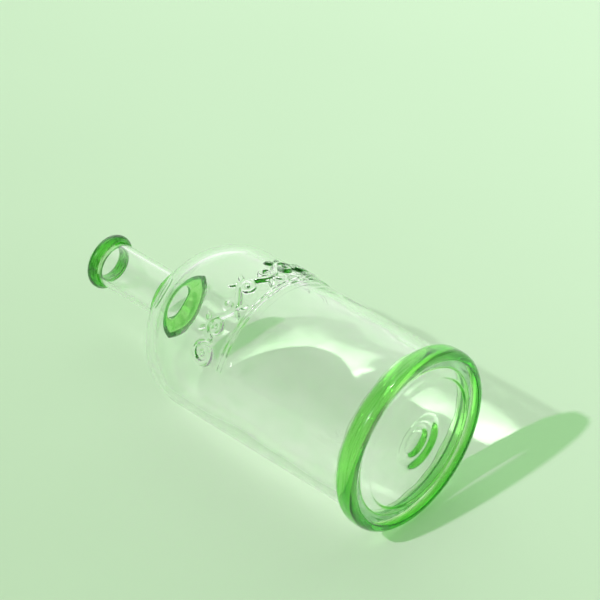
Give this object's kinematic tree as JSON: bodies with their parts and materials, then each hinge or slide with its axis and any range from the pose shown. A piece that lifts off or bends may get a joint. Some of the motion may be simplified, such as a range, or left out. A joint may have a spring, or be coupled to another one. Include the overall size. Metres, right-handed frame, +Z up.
{
  "type": "glass carboy",
  "caption": "Small clear glass carboy lying on its side, with a domed shoulder, narrow neck, green glass lip, collar and foot ring, and a leaf scroll in relief.",
  "frame": {"origin": "bottom centre of the bounding box, on the surface that the bottle lies on", "axes": "+Z up; the bottle lies along X with its base towards +X and its mouth towards -X, the mouth end 2.1 degrees low"},
  "size_m": [0.2442, 0.1102, 0.1102],
  "materials": {
    "clear_glass": "polished",
    "green_glass": "polished"
  },
  "bodies": {
    "root": {"body": "clear_glass", "neck_tube": "clear_glass", "neck_collar": "green_glass", "lip_ring": "green_glass", "foot_ring": "green_glass"}
  },
  "joints": []
}
